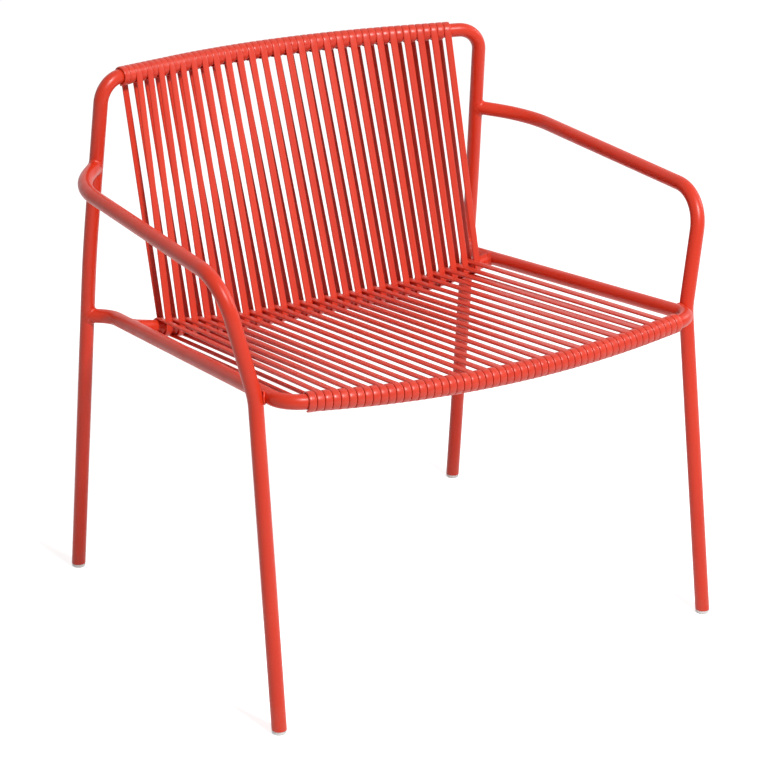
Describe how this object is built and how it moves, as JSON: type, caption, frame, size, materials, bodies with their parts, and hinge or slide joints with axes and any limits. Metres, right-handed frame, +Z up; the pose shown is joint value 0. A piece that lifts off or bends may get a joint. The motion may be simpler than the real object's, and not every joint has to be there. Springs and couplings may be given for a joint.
{
  "type": "garden armchair",
  "caption": "Low garden armchair of bent, welded round steel tube with a seat and back of flat plastic cord wound over the rails.",
  "frame": {"origin": "on the floor, under the middle of the chair", "axes": "+Z up, the chair faces -Y, +X to the right as seen from the front, which is the sitter's left"},
  "size_m": [0.7308, 0.609, 0.7177],
  "materials": {
    "frame_paint": "satin powder coat",
    "cord_plastic": "satin extruded cord",
    "glide_plastic": "translucent moulded"
  },
  "bodies": {
    "root": {"rear_frame": "frame_paint", "seat_frame": "frame_paint", "rear_crossbar": "frame_paint", "left_arm_leg": "frame_paint", "right_arm_leg": "frame_paint", "arm_welds": "frame_paint", "seat_welds": "frame_paint", "crossbar_welds": "frame_paint", "leg_welds": "frame_paint", "front_left_glide": "glide_plastic", "front_right_glide": "glide_plastic", "rear_left_glide": "glide_plastic", "rear_right_glide": "glide_plastic", "back_cord": "cord_plastic", "seat_cord": "cord_plastic"}
  },
  "joints": []
}
